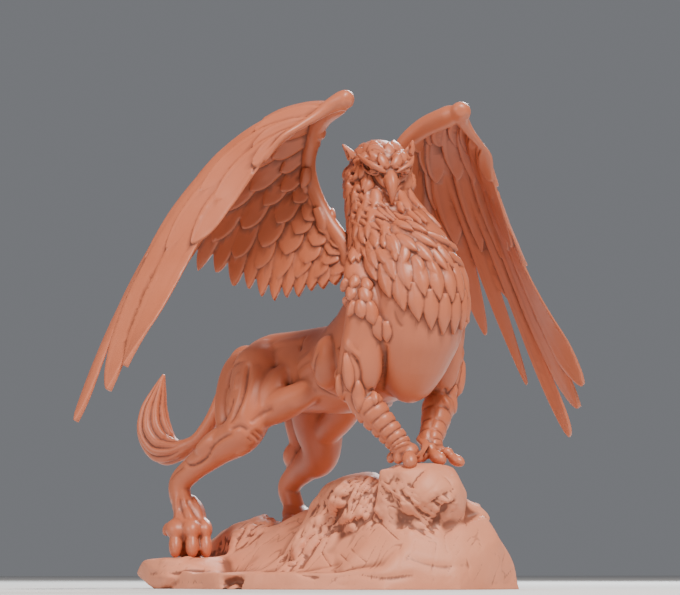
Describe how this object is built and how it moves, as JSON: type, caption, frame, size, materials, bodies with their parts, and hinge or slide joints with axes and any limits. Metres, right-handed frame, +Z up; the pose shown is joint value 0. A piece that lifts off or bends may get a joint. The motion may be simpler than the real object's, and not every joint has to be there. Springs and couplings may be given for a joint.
{
  "type": "griffin statue",
  "caption": "Cast statue of a standing griffin with raised wings, feathered breast and tufted tail, its talons on the prow of a rock plinth.",
  "frame": {"origin": "middle of the rock's flat underside", "axes": "+Z up, -Y the way the griffin's body faces, +X towards its left wing"},
  "size_m": [0.374, 0.2797, 0.2887],
  "materials": {
    "figure_resin": "satin",
    "rock_resin": "satin"
  },
  "bodies": {
    "root": {"griffin": "figure_resin", "rock_plinth": "rock_resin"}
  },
  "joints": []
}
